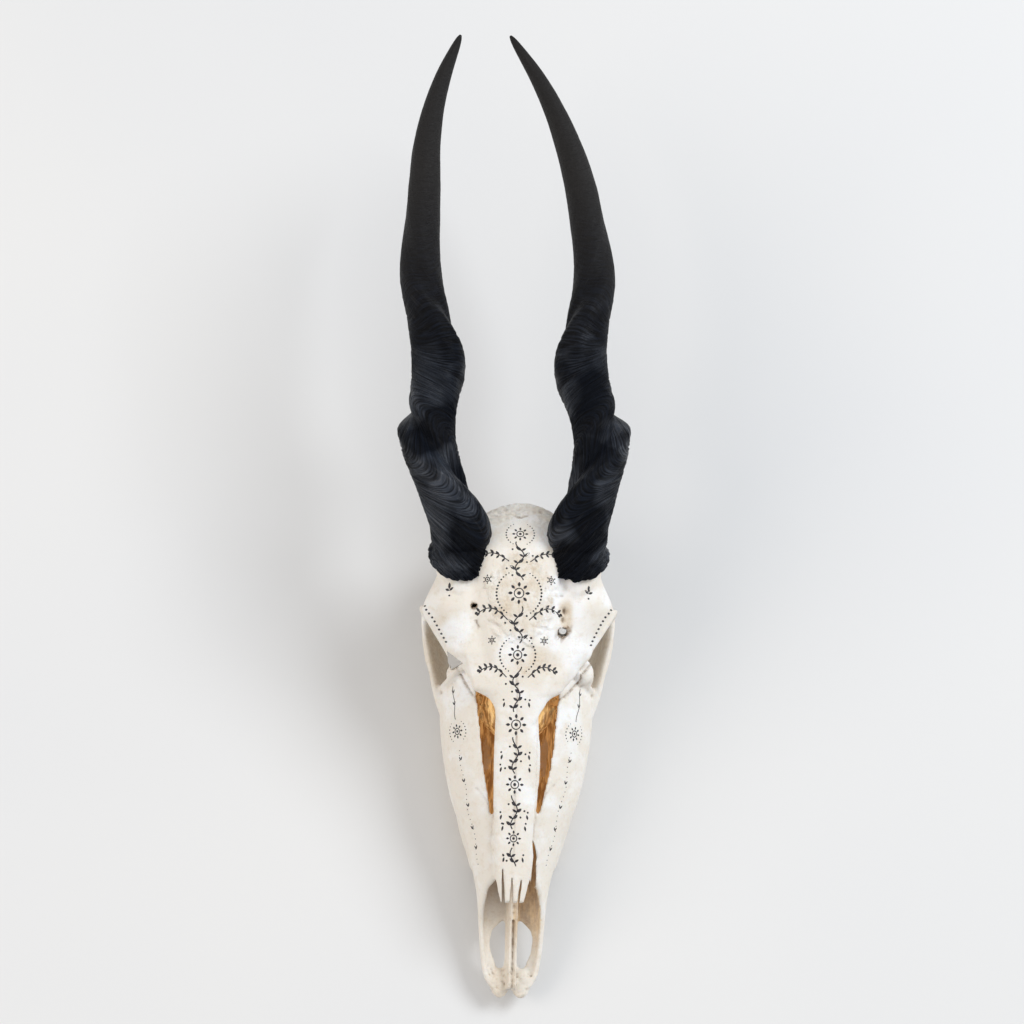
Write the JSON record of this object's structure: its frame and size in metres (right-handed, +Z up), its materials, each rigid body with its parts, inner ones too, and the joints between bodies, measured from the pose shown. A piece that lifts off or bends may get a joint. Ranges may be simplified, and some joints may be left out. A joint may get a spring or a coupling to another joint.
{
  "type": "eland skull",
  "caption": "Bleached antelope skull with long spiral horns and upper cheek teeth, lying on its teeth for display.",
  "frame": {"origin": "centre of the bounding box's underside, in the plane of the teeth's worn faces", "axes": "+Z up towards the forehead, -Y towards the nose, +Y towards the horn tips, +X to the right of a viewer who faces the nose-down skull as in the picture"},
  "size_m": [0.2016, 0.839, 0.204],
  "materials": {
    "bone": "bleached bone, matte, painted white",
    "keratin": "black horn, satin with fine ridges",
    "tooth": "worn enamel and dentine, semi-gloss",
    "ink": "matte black ink"
  },
  "bodies": {
    "root": {"skull": "bone", "horn_left": "keratin", "horn_right": "keratin", "premolar_2_left": "tooth", "premolar_2_right": "tooth", "premolar_3_left": "tooth", "premolar_3_right": "tooth", "premolar_4_left": "tooth", "premolar_4_right": "tooth", "molar_1_left": "tooth", "molar_1_right": "tooth", "molar_2_left": "tooth", "molar_2_right": "tooth", "molar_3_left": "tooth", "molar_3_right": "tooth"}
  },
  "joints": []
}
